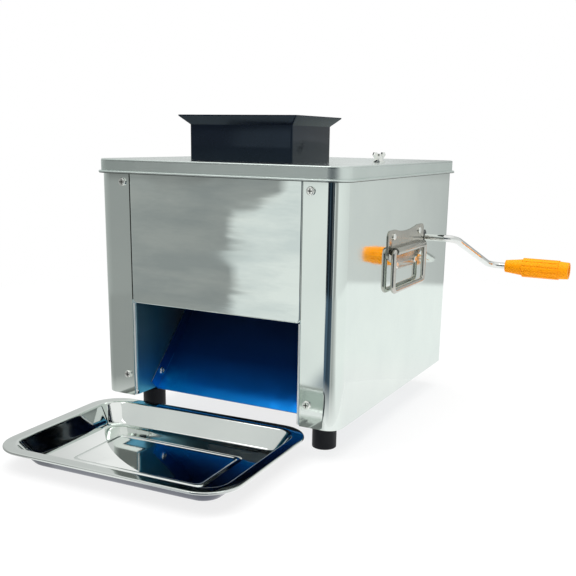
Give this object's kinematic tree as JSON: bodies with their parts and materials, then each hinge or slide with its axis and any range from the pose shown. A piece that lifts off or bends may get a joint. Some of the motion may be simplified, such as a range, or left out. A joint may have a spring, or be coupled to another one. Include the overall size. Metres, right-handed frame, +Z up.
{
  "type": "electric meat slicer",
  "caption": "Countertop electric meat slicer with a feed hopper, meshing round blades, a side crank with a turning grip, a sloping chute and a loose catch tray.",
  "frame": {"origin": "centre of the bounding box of machine, crank and tray, on the worktop", "axes": "+X to the machine's right hand side with the crank, seen by the user at the front, +Y to its rear, +Z up"},
  "size_m": [0.458, 0.6088, 0.3525],
  "materials": {
    "polished_steel": "near-mirror polished stainless sheet",
    "satin_steel": "satin stainless sheet",
    "blue_sheet": "polished sheet with a blue film look",
    "black_plastic": "glossy black",
    "dark_plastic": "matt black",
    "bright_chrome": "bright plated steel",
    "zinc_steel": "bright zinc plated",
    "blade_steel": "ground blade steel",
    "gear_steel": "machined steel with a film of grease",
    "food_nylon": "white food grade nylon",
    "bush_bronze": "sintered bronze",
    "foot_rubber": "black rubber",
    "grip_plastic": "orange yellow moulded plastic",
    "tray_steel": "mirror polished pressed stainless",
    "motor_metal": "dark grey paint",
    "cast_alloy": "die cast alloy",
    "capacitor_plastic": "white plastic can",
    "switch_green": "green rocker"
  },
  "bodies": {
    "frame": {"left_side_shell": "polished_steel", "right_side_shell": "polished_steel", "left_side_plate": "satin_steel", "right_side_plate": "satin_steel", "front_panel": "satin_steel", "rear_panel": "satin_steel", "base_plate": "satin_steel", "tie_rods": "gear_steel", "chute": "blue_sheet", "casing_screws": "zinc_steel", "frame_screws": "zinc_steel", "front_left_foot": "foot_rubber", "front_right_foot": "foot_rubber", "rear_left_foot": "foot_rubber", "rear_right_foot": "foot_rubber", "foot_bolts": "zinc_steel", "lid_studs": "zinc_steel", "left_handle_plate": "bright_chrome", "right_handle_plate": "bright_chrome", "handle_rivets": "zinc_steel", "crank_seal": "dark_plastic", "shaft_bushes": "bush_bronze", "rear_comb": "food_nylon", "front_comb": "food_nylon", "gearbox": "cast_alloy", "motor_housing": "motor_metal", "motor_cap": "dark_plastic", "motor_bolts": "zinc_steel", "capacitor": "capacitor_plastic", "capacitor_clamp": "satin_steel", "terminal_block": "dark_plastic", "cable_gland": "dark_plastic", "gland_nut": "dark_plastic", "switch_body": "dark_plastic"},
    "lid_set": {"lid": "polished_steel", "hopper": "black_plastic", "hopper_screws": "zinc_steel", "lid_washers": "zinc_steel"},
    "left_nut": {"left_wing_nut": "zinc_steel"},
    "right_nut": {"right_wing_nut": "zinc_steel"},
    "left_carry_bail": {"left_bail": "bright_chrome"},
    "right_carry_bail": {"right_bail": "bright_chrome"},
    "crank": {"crank_shaft": "gear_steel", "crank_rod": "bright_chrome", "grip_screw": "zinc_steel", "crank_gear": "gear_steel"},
    "grip": {"crank_grip": "grip_plastic"},
    "rear_blade_set": {"rear_blade_shaft": "gear_steel", "rear_blades": "blade_steel", "rear_blade_spacers": "food_nylon", "rear_blade_gear": "gear_steel"},
    "front_blade_set": {"front_blade_shaft": "gear_steel", "front_blades": "blade_steel", "front_blade_spacers": "food_nylon", "front_blade_gear": "gear_steel"},
    "motor_output": {"motor_shaft": "gear_steel", "motor_pinion": "gear_steel"},
    "rocker": {"switch_rocker": "switch_green"},
    "catch_tray": {"tray": "tray_steel"}
  },
  "joints": [
    {"name": "crank_turn", "type": "hinge", "parent": "frame", "child": "crank", "pos_m": [-0.069, 0.12247, 0.214], "axis": [1, 0, 0], "continuous": true},
    {"name": "grip_spin", "type": "hinge", "parent": "crank", "child": "grip", "pos_m": [0.186, 0.29145, 0.16201], "axis": [1, 0, 0], "continuous": true},
    {"name": "rear_blades_turn", "type": "hinge", "parent": "frame", "child": "rear_blade_set", "pos_m": [-0.069, 0.02319, 0.226], "axis": [1, 0, 0], "continuous": true},
    {"name": "front_blades_turn", "type": "hinge", "parent": "frame", "child": "front_blade_set", "pos_m": [-0.069, -0.06081, 0.226], "axis": [1, 0, 0], "continuous": true},
    {"name": "motor_turn", "type": "hinge", "parent": "frame", "child": "motor_output", "pos_m": [0.031, 0.13842, 0.13765], "axis": [1, 0, 0], "continuous": true},
    {"name": "lid_lift", "type": "slide", "parent": "frame", "child": "lid_set", "axis": [0, 0, 1], "range_m": [0, 0.12]},
    {"name": "left_wing_nut_turn", "type": "hinge", "parent": "lid_set", "child": "left_nut", "pos_m": [-0.184, 0.05147, 0.306], "axis": [0, 0, 1], "continuous": true},
    {"name": "right_wing_nut_turn", "type": "hinge", "parent": "lid_set", "child": "right_nut", "pos_m": [0.046, 0.05147, 0.306], "axis": [0, 0, 1], "continuous": true},
    {"name": "left_bail_swing", "type": "hinge", "parent": "frame", "child": "left_carry_bail", "pos_m": [-0.2246, 0.05747, 0.208], "axis": [0, 1, 0], "range_deg": [0, 90]},
    {"name": "right_bail_swing", "type": "hinge", "parent": "frame", "child": "right_carry_bail", "pos_m": [0.0866, 0.05747, 0.208], "axis": [0, -1, 0], "range_deg": [0, 90]},
    {"name": "switch_rock", "type": "hinge", "parent": "frame", "child": "rocker", "pos_m": [-0.2175, 0.17447, 0.246], "axis": [0, 1, 0], "range_deg": [0, 16]},
    {"name": "tray_slide", "type": "slide", "parent": "frame", "child": "catch_tray", "axis": [0, -1, 0], "range_m": [0, 0.12]}
  ],
  "couplings": [
    {"joint": "rear_blades_turn", "follows": "crank_turn", "ratio": -1.381},
    {"joint": "front_blades_turn", "follows": "crank_turn", "ratio": 1.381},
    {"joint": "motor_turn", "follows": "crank_turn", "ratio": -2.9}
  ]
}
